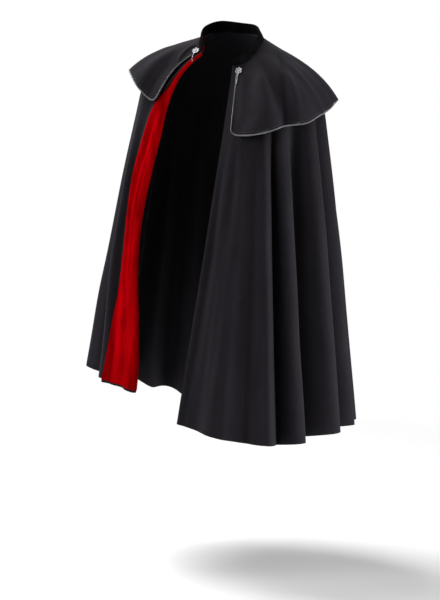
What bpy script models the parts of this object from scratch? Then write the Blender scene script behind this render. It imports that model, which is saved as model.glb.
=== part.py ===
"""A black wool cloak with a shoulder cape, stand collar, red velvet facings and silver clasps.

It is worn open: the cloth keeps its hollow form, and nothing is inside it. Metres, +Z up.
The cloak faces -Y, the wearer's left is +X, and the origin is the middle of the neck.
"Turn" is the way round the cloth in degrees: 0 is the middle of the front, 90 the wearer's
right side, 180 the back and 270 the wearer's left side.
"Drop" is the way down the cloth, from 0 at the neck seam to 1 at the hem.
"""

import bisect
import math

import bmesh
import bpy
from mathutils import Matrix, Vector

MM = 0.001

# Distances over which directions are taken: degrees of turn, drop, places on the flap and its
# roll and on the shoulder cape, and share of the cape's length
TURN_STEP = 0.5
DROP_STEP = 0.01
FLAP_STEP = 0.02
CAPE_STEP = 0.004
SHARE_STEP = 0.02

# Walls
WOOL = 2.4 * MM
CAPE_WOOL = 2.2 * MM
COLLAR_WALL = 3.0 * MM
VELVET = 1.2 * MM
SEAM_GAP = 0.4 * MM

# Rails of the cloak, in millimetres. Each hangs from the neck seam, bends over the shoulders
# at its corner and falls straight to the hem.
# turn, neck x, y, z, corner x, y, z, hem x, y, z
CLOAK_RAILS = (
    (40, -56, -85, -30, -129, -148, -88, -222, -203, -1018),
    (65, -80, -48, 6, -224, -100, -24, -376, -142, -986),
    (95, -86, 2, 28, -258, 20, -8, -470, 25, -978),
    (135, -66, 58, 42, -210, 150, -20, -375, 235, -1075),
    (180, 0, 82, 38, 0, 176, -70, -40, 320, -1125),
    (225, 64, 58, 26, 192, 145, -78, 258, 236, -1125),
    (265, 86, 8, 3, 254, 22, -76, 334, 30, -1122),
    (300, 87, -50, -36, 182, -122, -126, 262, -205, -1138),
    (330, 74, -80, -57, 108, -148, -162, 115, -274, -1126),
    (365, 45, -94, -66, 49, -140, -182, -61, -247, -1096),
)
CLOAK_BEND = 0.26  # share of the drop that the bend over the shoulders takes
BEND_REACH = 0.14  # how far down the hanging line the bend reaches

# Folds of the cloak, in order of turn: the crest and the valley after it, in millimetres out
# and in at the hem, and the drop where the fold begins.
# crest turn, crest out, valley turn, valley in, start
CLOAK_FOLDS = (
    (40, 0, 50, 10, 0.25),
    (60, 16, 69, 20, 0.20),
    (80, 24, 89, 26, 0.15),
    (100, 26, 110, 30, 0.15),
    (120, 30, 130, 32, 0.18),
    (140, 30, 150, 34, 0.20),
    (160, 32, 170, 32, 0.22),
    (180, 30, 190, 34, 0.20),
    (200, 32, 210, 34, 0.18),
    (221, 32, 230, 34, 0.15),
    (240, 26, 249, 38, 0.08),
    (257, 32, 266, 46, 0.08),
    (275, 32, 285, 56, 0.10),
    (294, 24, 302, 26, 0.10),
    (310, 16, 325, 8, 0.12),
    (340, 12, 354, 6, 0.30),
    (365, 2, 380, 0, 0.30),
)

FOLD_GROWTH = 2.0  # how soon a fold reaches its depth below its start

# The right elbow, under the cloth, pushes the turned-back edge outwards.
ELBOW_PUSH = Vector((-48 * MM, 6 * MM, 0))
ELBOW_DROP = 0.57
ELBOW_SPAN = 0.42
ELBOW_TURN = 40
ELBOW_TURN_SPAN = 42

# Turned-back right front edge: drop, width of the flap, radius of the roll, in millimetres
FLAP = (
    (0.00, 5, 2.2),
    (0.08, 10, 2.4),
    (0.15, 24, 3.2),
    (0.22, 56, 5.5),
    (0.40, 70, 8),
    (0.50, 66, 8),
    (0.60, 62, 8),
    (0.70, 78, 9),
    (0.80, 104, 10),
    (1.00, 126, 11),
)
FLAP_END_GAP = 7 * MM
FLAP_HEM_DROP = 9 * MM
ROLL_STEPS = 6
FLAP_STEPS = 5

# Panels of the cloak, by turn, with their seams half way down the side of a fold
ROLL_TURN = 40
RIGHT_SEAM_TURN = 84.5
LEFT_SEAM_TURN = 270.5
EDGE_TURN = 365
CLOAK_ROWS = (0, 0.045, 0.09, 0.13, 0.17, 0.21, 0.26, 0.34, 0.43, 0.53, 0.64, 0.76, 0.88, 1)
COLUMN_TURN = 2.9
CLOAK_LENGTH = 1150 * MM  # about, from the neck seam to the hem

# Shoulder cape: turn, its length as a share of the cloak's, how far its hem stands off
CAPE = (
    (44, 0.222, 22),
    (50, 0.230, 30),
    (58, 0.220, 39),
    (65, 0.2075, 46),
    (72, 0.200, 50),
    (95, 0.212, 56),
    (135, 0.243, 52),
    (180, 0.262, 46),
    (210, 0.247, 51),
    (225, 0.229, 46),
    (238, 0.217, 44),
    (250, 0.217, 42),
    (267, 0.238, 41),
    (277, 0.2445, 42),
    (287, 0.2515, 44),
    (296, 0.242, 40),
    (307, 0.2485, 35),
    (318, 0.2445, 29),
    (326, 0.237, 25),
    (336, 0.229, 22),
    (350, 0.220, 17),
)
CAPE_FOLDS = (
    (40, 0, 56, 6, 0.3),
    (70, 4, 88, 6, 0.3),
    (104, 6, 120, 8, 0.2),
    (138, 8, 155, 9, 0.2),
    (175, 8, 195, 9, 0.2),
    (214, 8, 232, 9, 0.2),
    (250, 8, 270, 8, 0.2),
    (286, 11, 295, 11, 0.1),
    (308, 9, 335, 2, 0.2),
    (350, 3, 380, 0, 0.2),
)
CAPE_SEAT = 0.4 * MM  # clear space between the cape and the cloak at the neck seam
CAPE_FLARE_POWER = 1.8
CAPE_EDGES = ((48, 45.5), (347.5, 341))  # turn of the right and left edges at the neck and hem
CAPE_CORNER = 16 * MM
CAPE_CORNER_SHARES = (0, 0.12, 0.3, 0.6)  # columns within each rounded front corner
CAPE_ROWS = (0, 0.15, 0.3, 0.45, 0.6, 0.74, 0.88, 1)
CAPE_COLUMNS = 84
CAPE_HEM = 1300 * MM  # about, the length of its hem

# Corded edge of the shoulder cape
TRIM_RADIUS = 2.0 * MM
TRIM_GAP = 0.3 * MM

# Collar: turn, height, lean outwards in millimetres
COLLAR = (
    (40, 20, -14),
    (90, 28, -8),
    (180, 28, -10),
    (225, 26, -14),
    (270, 25, -15),
    (320, 24, -12),
    (365, 12, -6),
)
COLLAR_ENDS = (42, 363)
COLLAR_SEAT = 0.4 * MM
COLLAR_COLUMNS = 44
COLLAR_ROWS = (0, 0.34, 0.67, 1)

# Velvet facings
FACING_INSIDE = 14  # degrees of turn that each facing runs in from the edge
FACING_DROPS = (0.004, 0.994)
FACING_SEAT = 0.4 * MM
FACING_GAP = WOOL / 2 + FACING_SEAT + VELVET / 2
COLLAR_FACING_ENDS = (39.5, 62)
COLLAR_FACING_ROWS = (0.12, 0.4, 0.68, 0.96)
COLLAR_FACING_SEAT = 0.8 * MM

# Clasps: side, turn and drop on the cloth, how high the chain's top stands over the cloth and
# how much of the chain lies on the cloth before the rest hangs plumb
CLASPS = (
    ("right", 48.5, 0.018, 7.2 * MM, 22 * MM),
    ("left", 343.2, 0.027, 3.5 * MM, 40 * MM),
)
ROSETTE_RADIUS = 10.5 * MM
ROSETTE_LOBES = 6
ROSETTE_STEPS = 36
# share of the radius, height, depth of the lobes
ROSETTE_SECTIONS = (
    (0.92, 0.0, 0.10),
    (1.00, 0.9, 0.12),
    (0.96, 2.2, 0.12),
    (0.72, 3.4, 0.08),
    (0.46, 2.6, 0.03),
    (0.34, 3.6, 0.0),
    (0.16, 4.4, 0.0),
)
ROSETTE_LIFT = 1.6 * MM
CHAIN_LENGTH = 34 * MM
CHAIN_GAP = 0.4 * MM
CHAIN_LEAN = {"right": 0.10, "left": 0.06}  # away from the cloth that it lies on
CHAIN_BEADS = 7
CHAIN_THIN = 0.9 * MM
CHAIN_THICK = 1.7 * MM
CHAIN_SIDES = 8


def row_at(rows, place):
    """A smooth reading of a table at a place in its first column."""
    places = [row[0] for row in rows]
    last = len(rows) - 1
    low = max(0, min(last - 1, bisect.bisect_right(places, place) - 1))

    def slope(index, column):
        before, after = rows[max(index - 1, 0)], rows[min(index + 1, last)]
        return (after[column] - before[column]) / (after[0] - before[0])

    here, there = rows[low], rows[low + 1]
    step = there[0] - here[0]
    s = (place - here[0]) / step
    values = []
    for column in range(1, len(here)):
        values.append(
            here[column] * (1 + 2 * s) * (1 - s) ** 2
            + there[column] * s * s * (3 - 2 * s)
            + slope(low, column) * step * s * (1 - s) ** 2
            - slope(low + 1, column) * step * s * s * (1 - s)
        )
    return values


def bump(value, middle, span):
    """1 at the middle, falling smoothly to 0 at a span from it."""
    away = min(1.0, abs(value - middle) / span)
    return 0.5 + 0.5 * math.cos(math.pi * away)


def rail_point(values, drop):
    """The point of a rail at a drop: a bend from the neck past the corner, then a straight fall."""
    neck, corner, hem = (Vector(values[i : i + 3]) * MM for i in (0, 3, 6))
    joint = corner.lerp(hem, BEND_REACH)
    if drop >= CLOAK_BEND:
        return joint.lerp(hem, (drop - CLOAK_BEND) / (1 - CLOAK_BEND))
    s = drop / CLOAK_BEND
    return neck * (1 - s) ** 2 + corner * 2 * s * (1 - s) + joint * s * s


def wave(folds, turn):
    """How far out the folds stand at a turn, at the hem, and the drop where they begin."""
    ends = []
    for crest, out, valley, inward, start in folds:
        ends += [(crest, out * MM, start), (valley, -inward * MM, start)]
    for (left, a, first), (right, b, second) in zip(ends, ends[1:]):
        if left <= turn <= right:
            s = 0.5 - 0.5 * math.cos(math.pi * (turn - left) / (right - left))
            return a + (b - a) * s, first + (second - first) * s
    return 0.0, 0.0


def fading(drop, start):
    """The share of a fold's depth at a drop: none above its start, all of it at the hem."""
    s = max(0.0, (drop - start) / (1 - start))
    return 1 - (1 - s) ** FOLD_GROWTH


def cloak_base(turn, drop):
    point = rail_point(row_at(CLOAK_RAILS, turn), drop)
    pushed = bump(drop, ELBOW_DROP, ELBOW_SPAN) * bump(turn, ELBOW_TURN, ELBOW_TURN_SPAN)
    return point + ELBOW_PUSH * pushed


def frame_at(surface, turn, drop):
    """The directions round, down and out of a surface at a point, and metres per degree of turn."""
    low, high = max(0.0, drop - DROP_STEP), min(1.0, drop + DROP_STEP)
    round_it = surface(turn + TURN_STEP, drop) - surface(turn - TURN_STEP, drop)
    down = (surface(turn, high) - surface(turn, low)).normalized()
    out = round_it.cross(down).normalized()
    return round_it.normalized(), down, out, round_it.length / (2 * TURN_STEP)


def cloak_point(turn, drop):
    """The middle of the cloak's wall."""
    offset, start = wave(CLOAK_FOLDS, turn)
    out = frame_at(cloak_base, turn, drop)[2]
    return cloak_base(turn, drop) + out * offset * fading(drop, start)


def flap_point(place, drop):
    """The turned-back edge: place runs from -1 at the free edge to 0 and on round the roll to 1."""
    width, roll = (value * MM for value in row_at(FLAP, drop))
    round_it, down, out, speed = frame_at(cloak_point, ROLL_TURN + 1, drop)
    if place > 0:
        angle = math.pi * (1 - place)
        edge = cloak_point(ROLL_TURN, drop)
        return edge + out * roll * (1 - math.cos(angle)) - round_it * roll * math.sin(angle)
    share = -place
    turn = ROLL_TURN + share * width / speed
    gap = 2 * roll * (1 - share) + min(2 * roll, FLAP_END_GAP) * share
    point = cloak_point(turn, drop) + frame_at(cloak_point, turn, drop)[2] * gap
    return point + down * FLAP_HEM_DROP * share * drop * drop


def right_front_point(place, drop):
    """Below 1 the place is on the flap and its roll, and from 1 it goes on by degrees of turn."""
    if place < 1:
        return flap_point(place, drop)
    return cloak_point(ROLL_TURN - 1 + place, drop)


def cape_point(place, share):
    """The middle of the shoulder cape's wall; place runs from 0 at its right edge to 1."""
    first, last = (at_neck + (at_hem - at_neck) * share for at_neck, at_hem in CAPE_EDGES)
    turn = first + (last - first) * place
    length, flare = row_at(CAPE, turn)
    speed = frame_at(cloak_base, turn, length)[3]
    to_edge = min(place, 1 - place) * (last - first) * speed
    short = CAPE_CORNER - min(CAPE_CORNER, to_edge)
    rounding = CAPE_CORNER - math.sqrt(CAPE_CORNER**2 - short**2)
    drop = share * (length - rounding / CLOAK_LENGTH)
    offset, start = wave(CAPE_FOLDS, turn)
    seat = WOOL / 2 + CAPE_SEAT + CAPE_WOOL / 2
    lift = seat + flare * MM * share**CAPE_FLARE_POWER + offset * fading(share, start)
    return cloak_base(turn, drop) + frame_at(cloak_base, turn, drop)[2] * lift


def collar_point(turn, share):
    """The middle of the stand collar's wall, from its seam on the shoulder cape upwards."""
    height, lean = (value * MM for value in row_at(COLLAR, turn))
    out = frame_at(cloak_base, turn, 0)[2]
    seat = WOOL / 2 + CAPE_SEAT + CAPE_WOOL + COLLAR_SEAT + COLLAR_WALL
    away = Vector((out.x, out.y, 0)).normalized()
    foot = cloak_base(turn, 0) + out * seat
    return foot + Vector((0, 0, height * share)) + away * lean * share


def lined(surface, place, drop, step, gap):
    """A point a gap behind a surface, on its inner side."""
    low, high = max(0.0, drop - DROP_STEP), min(1.0, drop + DROP_STEP)
    across = surface(place + step, drop) - surface(place - step, drop)
    down = surface(place, high) - surface(place, low)
    return surface(place, drop) - across.cross(down).normalized() * gap


def on_rows(surface, drop):
    """A point of a surface that is straight between the cloak's rows, as its wall is."""
    low = max(0, min(len(CLOAK_ROWS) - 2, bisect.bisect_right(CLOAK_ROWS, drop) - 1))
    above, below = CLOAK_ROWS[low], CLOAK_ROWS[low + 1]
    return surface(above).lerp(surface(below), (drop - above) / (below - above))


def facing_right_point(place, drop):
    step = FLAP_STEP if place < 1 else TURN_STEP
    if place == 1:
        step = FLAP_STEP / 2
    return on_rows(lambda row: lined(right_front_point, place, row, step, FACING_GAP), drop)


def facing_left_point(turn, drop):
    return on_rows(lambda row: lined(cloak_point, turn, row, TURN_STEP, FACING_GAP), drop)


def spread(first, last, step):
    """Even places from first to last, about a step apart."""
    count = max(1, round((last - first) / step))
    return [first + (last - first) * i / count for i in range(count + 1)]


def material(name, colour, roughness, metallic=0.0):
    made = bpy.data.materials.new(name)
    made.use_nodes = True
    shader = made.node_tree.nodes["Principled BSDF"]
    shader.inputs["Base Color"].default_value = (*colour, 1.0)
    shader.inputs["Roughness"].default_value = roughness
    shader.inputs["Metallic"].default_value = metallic
    return made


def add_object(name, mesh, finish, collection):
    made = bpy.data.objects.new(name, mesh)
    mesh.materials.append(finish)
    collection.objects.link(made)
    return made


def cloth(name, places, drops, surface, wall, finish, collection):
    """A wall of cloth: a flat grid moved onto a surface and thickened to both sides."""
    sheet = bmesh.new()
    columns, rows = len(places) - 1, len(drops) - 1
    bmesh.ops.create_grid(sheet, x_segments=columns, y_segments=rows, size=1.0)
    for vertex in sheet.verts:
        column = round((vertex.co.x + 1) / 2 * columns)
        row = round((1 - vertex.co.y) / 2 * rows)
        vertex.co = surface(places[column], drops[row])
    mesh = bpy.data.meshes.new(name)
    sheet.to_mesh(mesh)
    sheet.free()
    mesh.shade_smooth()
    made = add_object(name, mesh, finish, collection)
    solidify = made.modifiers.new("wall", "SOLIDIFY")
    solidify.thickness = wall
    solidify.offset = 0.0
    solidify.use_even_offset = True
    return made


def seamed(places, surface, first_gap, last_gap):
    """The surface with the first and last columns moved in by half a seam's gap."""

    def moved(place, drop):
        point = surface(place, drop)
        for end, gap, way in ((places[0], first_gap, 1), (places[-1], last_gap, -1)):
            if place == end and gap:
                across = surface(place + TURN_STEP, drop) - surface(place - TURN_STEP, drop)
                point = point + across.normalized() * (way * gap / 2)
        return point

    return moved


def flap_places():
    """Places of the turned-back flap and its roll."""
    return spread(-1, 0, 1 / FLAP_STEPS) + spread(0, 1, 1 / ROLL_STEPS)[1:-1]


def front_places():
    """Places of the right front from the roll to the side seam."""
    return spread(1, RIGHT_SEAM_TURN - ROLL_TURN + 1, COLUMN_TURN)


def build_cloak(collection, wool):
    right = flap_places() + front_places()
    back = spread(RIGHT_SEAM_TURN, LEFT_SEAM_TURN, COLUMN_TURN)
    left = spread(LEFT_SEAM_TURN, EDGE_TURN, COLUMN_TURN)
    panels = (
        ("front_right", right, right_front_point, 0, SEAM_GAP),
        ("back", back, cloak_point, SEAM_GAP, SEAM_GAP),
        ("front_left", left, cloak_point, SEAM_GAP, 0),
    )
    for name, places, surface, first_gap, last_gap in panels:
        seam = seamed(places, surface, first_gap, last_gap)
        cloth(name, places, CLOAK_ROWS, seam, WOOL, wool, collection)


def cape_places():
    """Even places across the shoulder cape, closer together round its two front corners."""
    corner = [share * CAPE_CORNER / CAPE_HEM for share in CAPE_CORNER_SHARES]
    middle = [i / CAPE_COLUMNS for i in range(1, CAPE_COLUMNS)]
    return corner + middle + [1 - share for share in reversed(corner)]


def build_cape(collection, wool):
    cloth("capelet", cape_places(), CAPE_ROWS, cape_point, CAPE_WOOL, wool, collection)


def cape_normal(place, share):
    """The outward direction of the shoulder cape at a point."""
    left, right = max(0.0, place - CAPE_STEP), min(1.0, place + CAPE_STEP)
    up, low = max(0.0, share - SHARE_STEP), min(1.0, share + SHARE_STEP)
    across = cape_point(right, share) - cape_point(left, share)
    down = cape_point(place, low) - cape_point(place, up)
    return across.cross(down).normalized()


def build_trim(collection, finish):
    """A cord along the shoulder cape's front edges and hem, just outside its cut edge."""
    edge = [(0, share) for share in CAPE_ROWS[1:-1]]
    edge += [(place, 1) for place in cape_places()]
    edge += [(1, share) for share in reversed(CAPE_ROWS[1:-1])]
    cut = [cape_point(place, share) for place, share in edge]
    path = []
    for i, (place, share) in enumerate(edge):
        along = (cut[min(i + 1, len(cut) - 1)] - cut[max(i - 1, 0)]).normalized()
        away = cape_normal(place, share).cross(along).normalized()
        path.append(cut[i] + away * (TRIM_GAP + TRIM_RADIUS))
    curve = bpy.data.curves.new("capelet_trim", "CURVE")
    curve.dimensions = "3D"
    spline = curve.splines.new("POLY")
    spline.points.add(len(path) - 1)
    for point, place in zip(spline.points, path):
        point.co = (*place, 1.0)
    curve.bevel_depth = TRIM_RADIUS
    curve.bevel_resolution = 1
    curve.use_fill_caps = True
    return add_object("capelet_trim", curve, finish, collection)


def build_collar(collection, wool):
    first, last = COLLAR_ENDS
    turns = spread(first, last, (last - first) / COLLAR_COLUMNS)
    cloth("collar", turns, COLLAR_ROWS, collar_point, COLLAR_WALL, wool, collection)


def collar_facing_point(turn, share):
    gap = COLLAR_WALL / 2 + COLLAR_FACING_SEAT + VELVET / 2
    return lined(collar_point, turn, share, TURN_STEP, -gap)


def build_facings(collection, velvet):
    first, last = COLLAR_FACING_ENDS
    turns = spread(first, last, COLUMN_TURN)
    rows = COLLAR_FACING_ROWS
    cloth("collar_facing", turns, rows, collar_facing_point, VELVET, velvet, collection)
    first, last = FACING_DROPS
    drops = (first,) + CLOAK_ROWS[1:-1] + (last,)
    inner = [place for place in front_places() if place < 1 + FACING_INSIDE]
    right = flap_places() + inner
    left = spread(LEFT_SEAM_TURN, EDGE_TURN, COLUMN_TURN)
    left = [turn for turn in left if turn > EDGE_TURN - FACING_INSIDE]
    cloth("facing_right", right, drops, facing_right_point, VELVET, velvet, collection)
    cloth("facing_left", left, drops, facing_left_point, VELVET, velvet, collection)


def loft(name, sections, finish, collection):
    """A closed solid through rings of points, with a flat cap at each end."""
    mesh = bpy.data.meshes.new(name)
    shape = bmesh.new()
    rings = [[shape.verts.new(point) for point in ring] for ring in sections]
    for below, above in zip(rings, rings[1:]):
        for i in range(len(below)):
            j = (i + 1) % len(below)
            shape.faces.new((below[i], below[j], above[j], above[i]))
    shape.faces.new(list(reversed(rings[0])))
    shape.faces.new(rings[-1])
    bmesh.ops.recalc_face_normals(shape, faces=shape.faces)
    shape.to_mesh(mesh)
    shape.free()
    return add_object(name, mesh, finish, collection)


def ring(radius, height, lobe, steps):
    """Points round a circle, drawn in between the petals by the depth of the lobes."""
    points = []
    for i in range(steps):
        angle = 2 * math.pi * i / steps
        reach = radius * (1 - lobe - lobe * math.cos(ROSETTE_LOBES * angle))
        points.append(Vector((reach * math.cos(angle), reach * math.sin(angle), height)))
    return points


def cape_face(turn, drop):
    """A point on the outer side of the shoulder cape near its neck, carried on past its edge."""
    lift = WOOL / 2 + CAPE_SEAT + CAPE_WOOL
    return cloak_base(turn, drop) + frame_at(cloak_base, turn, drop)[2] * lift


def clasp_frame(turn, drop):
    """The place of a clasp on the shoulder cape, its Z axis outwards and its Y axis down."""
    here = cape_face(turn, drop)
    across = cape_face(turn + 1, drop) - cape_face(turn - 1, drop)
    out = across.cross(cape_face(turn, drop + 0.02) - here).normalized()
    down = (Vector((0, 0, -1)) + out * out.z).normalized()
    turned = Matrix((down.cross(out), down, out)).transposed()
    return Matrix.Translation(here) @ turned.to_4x4()


def build_clasps(collection, silver):
    for side, turn, drop, rise, lying in CLASPS:
        place = clasp_frame(turn, drop)
        sections = []
        for share, height, lobe in ROSETTE_SECTIONS:
            sections.append(ring(ROSETTE_RADIUS * share, height * MM, lobe, ROSETTE_STEPS))
        rosette = loft(f"rosette_{side}", sections, silver, collection)
        rosette.matrix_world = place @ Matrix.Translation((0, 0, ROSETTE_LIFT))
        axes = place.to_3x3()
        on_cloth = (axes.col[1] + axes.col[2] * CHAIN_LEAN[side]).normalized()
        plumb = Vector((0, 0, -1))
        beads = []
        for i in range(CHAIN_BEADS * 2 + 1):
            radius = CHAIN_THICK if i % 2 else CHAIN_THIN
            along = CHAIN_LENGTH * i / (CHAIN_BEADS * 2)
            centre = on_cloth * min(along, lying) + plumb * max(0, along - lying)
            way = on_cloth if along < lying else plumb
            turned = way.to_track_quat("Z", "Y")
            beads.append([centre + turned @ point for point in ring(radius, 0, 0, CHAIN_SIDES)])
        chain = loft(f"chain_{side}", beads, silver, collection)
        top = place @ Vector((0, ROSETTE_RADIUS + CHAIN_GAP, rise))
        chain.matrix_world = Matrix.Translation(top)


def main():
    for old in list(bpy.data.objects):
        bpy.data.objects.remove(old)
    collection = bpy.data.collections.new("wool_cloak")
    bpy.context.scene.collection.children.link(collection)
    wool = material("black_wool", (0.012, 0.011, 0.014), 0.85)
    velvet = material("red_velvet", (0.35, 0.004, 0.01), 0.7)
    cord = material("grey_cord", (0.11, 0.11, 0.12), 0.5)
    silver = material("silver", (0.6, 0.6, 0.62), 0.25, 1.0)
    build_cloak(collection, wool)
    build_cape(collection, wool)
    build_trim(collection, cord)
    build_collar(collection, wool)
    build_facings(collection, velvet)
    build_clasps(collection, silver)


main()
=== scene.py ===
"""The look of a black wool cloak with a shoulder cape, velvet facings and silver clasps.

Metres, +Z up; the cloak faces -Y and the origin is the middle of the neck. "Turn" is the way
round the cloth in degrees: 0 is the middle of the front, 90 the wearer's right side, 180 the
back and 270 the wearer's left side. "Drop" is the way down the cloth, from 0 at the neck seam
to 1 at the hem.
"""

import bisect
import math

import bmesh
import bpy
from mathutils import Matrix, Vector


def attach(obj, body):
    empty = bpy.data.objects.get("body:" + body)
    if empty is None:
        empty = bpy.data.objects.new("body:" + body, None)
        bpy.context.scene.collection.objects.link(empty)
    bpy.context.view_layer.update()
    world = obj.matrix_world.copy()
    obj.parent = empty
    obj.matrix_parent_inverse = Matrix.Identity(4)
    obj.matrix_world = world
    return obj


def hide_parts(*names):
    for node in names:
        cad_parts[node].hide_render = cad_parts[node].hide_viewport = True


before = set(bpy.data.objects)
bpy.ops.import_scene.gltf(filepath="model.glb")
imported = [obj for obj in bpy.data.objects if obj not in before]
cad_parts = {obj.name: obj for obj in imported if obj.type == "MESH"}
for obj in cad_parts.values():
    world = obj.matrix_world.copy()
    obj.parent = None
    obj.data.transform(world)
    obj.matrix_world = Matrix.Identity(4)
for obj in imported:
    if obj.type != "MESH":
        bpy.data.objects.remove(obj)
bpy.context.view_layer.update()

MM = 0.001

# Walls of the cloth, how far a sewn panel laps into its neighbour, and how the cut edges are
# rounded: the share of the wall, and the angle from which an edge counts
WOOL = 2.4 * MM
CAPE_WOOL = 2.2 * MM
COLLAR_WALL = 3.0 * MM
VELVET = 1.2 * MM
SEAM_LAP = 0.5 * MM
EDGE_ROUNDING = 0.42
EDGE_ANGLE = math.radians(60)

# Steps to the points beside a point, from which the directions of a surface are worked out: in
# degrees of turn, in drop, across the flap, across the shoulder cape and down its length
TURN_STEP = 0.5
DROP_STEP = 0.01
FLAP_STEP = 0.02
CAPE_STEP = 0.004
SHARE_STEP = 0.02

# Rails of the cloak, in millimetres, the same as in the solids.
# turn, neck x, y, z, corner x, y, z, hem x, y, z
CLOAK_RAILS = (
    (40, -56, -85, -30, -129, -148, -88, -222, -203, -1018),
    (65, -80, -48, 6, -224, -100, -24, -376, -142, -986),
    (95, -86, 2, 28, -258, 20, -8, -470, 25, -978),
    (135, -66, 58, 42, -210, 150, -20, -375, 235, -1075),
    (180, 0, 82, 38, 0, 176, -70, -40, 320, -1125),
    (225, 64, 58, 26, 192, 145, -78, 258, 236, -1125),
    (265, 86, 8, 3, 254, 22, -76, 334, 30, -1122),
    (300, 87, -50, -36, 182, -122, -126, 262, -205, -1138),
    (330, 74, -80, -57, 108, -148, -162, 115, -274, -1126),
    (365, 45, -94, -66, 49, -140, -182, -61, -247, -1096),
)

# The drop where the bend over the shoulder ends, and how far down the straight fall it reaches
CLOAK_BEND = 0.26
BEND_REACH = 0.14
CLOAK_LENGTH = 1150 * MM

# Turns of the right front's roll, a place just inside it, both side seams and the left edge
ROLL_TURN = 40
INSIDE_ROLL = 41
RIGHT_SEAM_TURN = 84.5
LEFT_SEAM_TURN = 270.5
EDGE_TURN = 365

# Folds of the cloak, from the drop where they start to their full depth at the hem.
# crest turn, crest out in mm, valley turn, valley in in mm, start
CLOAK_FOLDS = (
    (40, 0, 50, 10, 0.25),
    (60, 16, 69, 20, 0.20),
    (80, 24, 89, 26, 0.15),
    (100, 26, 110, 30, 0.15),
    (120, 30, 130, 32, 0.18),
    (140, 30, 150, 34, 0.20),
    (160, 32, 170, 32, 0.22),
    (180, 30, 190, 34, 0.20),
    (200, 32, 210, 34, 0.18),
    (221, 32, 230, 34, 0.15),
    (240, 26, 249, 38, 0.08),
    (257, 32, 266, 46, 0.08),
    (275, 32, 285, 56, 0.10),
    (294, 24, 302, 26, 0.10),
    (310, 16, 325, 8, 0.12),
    (340, 12, 354, 6, 0.30),
    (365, 2, 380, 0, 0.30),
)

# The power by which a fold deepens below its start
FOLD_GROWTH = 2.0

# The right front stands out round the elbow under it: how far out, and the drop and the turn
# of the middle, each with the span to where it ends
ELBOW_PUSH = Vector((-48 * MM, 6 * MM, 0))
ELBOW_DROP = 0.57
ELBOW_SPAN = 0.42
ELBOW_TURN = 40
ELBOW_TURN_SPAN = 42

# The slow unevenness of the cloth, which dies out over some degrees towards both front edges
WIDE_RIPPLE = 1.0 * MM
FINE_RIPPLE = 0.45 * MM
RIPPLE_GROWTH = 4
EDGE_CALM = 4
ROLL_CALM = 6

# Turned-back right front edge: drop, width of the flap, radius of the roll, in millimetres
FLAP = (
    (0.00, 5, 2.2),
    (0.08, 10, 2.4),
    (0.15, 24, 3.2),
    (0.22, 56, 5.5),
    (0.40, 70, 8),
    (0.50, 66, 8),
    (0.60, 62, 8),
    (0.70, 78, 9),
    (0.80, 104, 10),
    (1.00, 126, 11),
)
FLAP_END_GAP = 7 * MM
FLAP_HEM_DROP = 9 * MM

# Soft waves across the flap, which sway on their way down and die out at the roll and the neck
FLAP_WAVES = 1.6
FLAP_WAVE_HEIGHT = 2.6 * MM
FLAP_WAVE_SWAY = 0.25
FLAP_WAVE_TURNS = 9
FLAP_ROLL_CALM = 4
FLAP_NECK_CALM = 0.25

# Shoulder cape: turn, its length as a share of the cloak's, how far its hem stands off in mm
CAPE = (
    (44, 0.222, 22),
    (50, 0.230, 30),
    (58, 0.220, 39),
    (65, 0.2075, 46),
    (72, 0.200, 50),
    (95, 0.212, 56),
    (135, 0.243, 52),
    (180, 0.262, 46),
    (210, 0.247, 51),
    (225, 0.229, 46),
    (238, 0.217, 44),
    (250, 0.217, 42),
    (267, 0.238, 41),
    (277, 0.2445, 42),
    (287, 0.2515, 44),
    (296, 0.242, 40),
    (307, 0.2485, 35),
    (318, 0.2445, 29),
    (326, 0.237, 25),
    (336, 0.229, 22),
    (350, 0.220, 17),
)

# Its folds, as for the cloak, with starts as shares of its own length
CAPE_FOLDS = (
    (40, 0, 56, 6, 0.3),
    (70, 4, 88, 6, 0.3),
    (104, 6, 120, 8, 0.2),
    (138, 8, 155, 9, 0.2),
    (175, 8, 195, 9, 0.2),
    (214, 8, 232, 9, 0.2),
    (250, 8, 270, 8, 0.2),
    (286, 11, 295, 11, 0.1),
    (308, 9, 335, 2, 0.2),
    (350, 3, 380, 0, 0.2),
)
CAPE_SEAT = 0.4 * MM
CAPE_MIDDLE = WOOL / 2 + CAPE_SEAT + CAPE_WOOL / 2
CAPE_OUTSIDE = WOOL / 2 + CAPE_SEAT + CAPE_WOOL
CAPE_FLARE_POWER = 1.8
CAPE_HEM = 1300 * MM
# The turns of its two front edges, each at the neck and at the hem, and its round corners
CAPE_EDGES = ((48, 45.5), (347.5, 341))
CAPE_CORNER = 16 * MM
# How narrow the creases are at its neck, and the share of the flare that they may take away
CAPE_NECK_SHARE = 0.35
CAPE_CREASE_LIMIT = 0.8

# The cord along the shoulder cape's edge, from a share of its length down
TRIM_RADIUS = 2.0 * MM
TRIM_GAP = 0.3 * MM
CORD_START = 0.15
CORD_EASING = 6

# Collar: turn, height, lean outwards in millimetres
COLLAR = (
    (40, 20, -14),
    (90, 28, -8),
    (180, 28, -10),
    (225, 26, -14),
    (270, 25, -15),
    (320, 24, -12),
    (365, 12, -6),
)
COLLAR_ENDS = (42, 363)
COLLAR_SEAT = 0.4 * MM
# The collar's rows go up from a foot, which is given as a row below 0 and sewn down at a drop
COLLAR_FOOT = -0.1
COLLAR_FIRST_ROW = 0.05
COLLAR_FOOT_DROP = 0.004
COLLAR_FACING_ENDS = (39.5, 62)
COLLAR_FACING_SHARES = (0.12, 0.96)
COLLAR_FACING_AIR = 0.6 * MM
COLLAR_FACING_GAP = COLLAR_WALL / 2 + COLLAR_FACING_AIR + VELVET / 2

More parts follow.
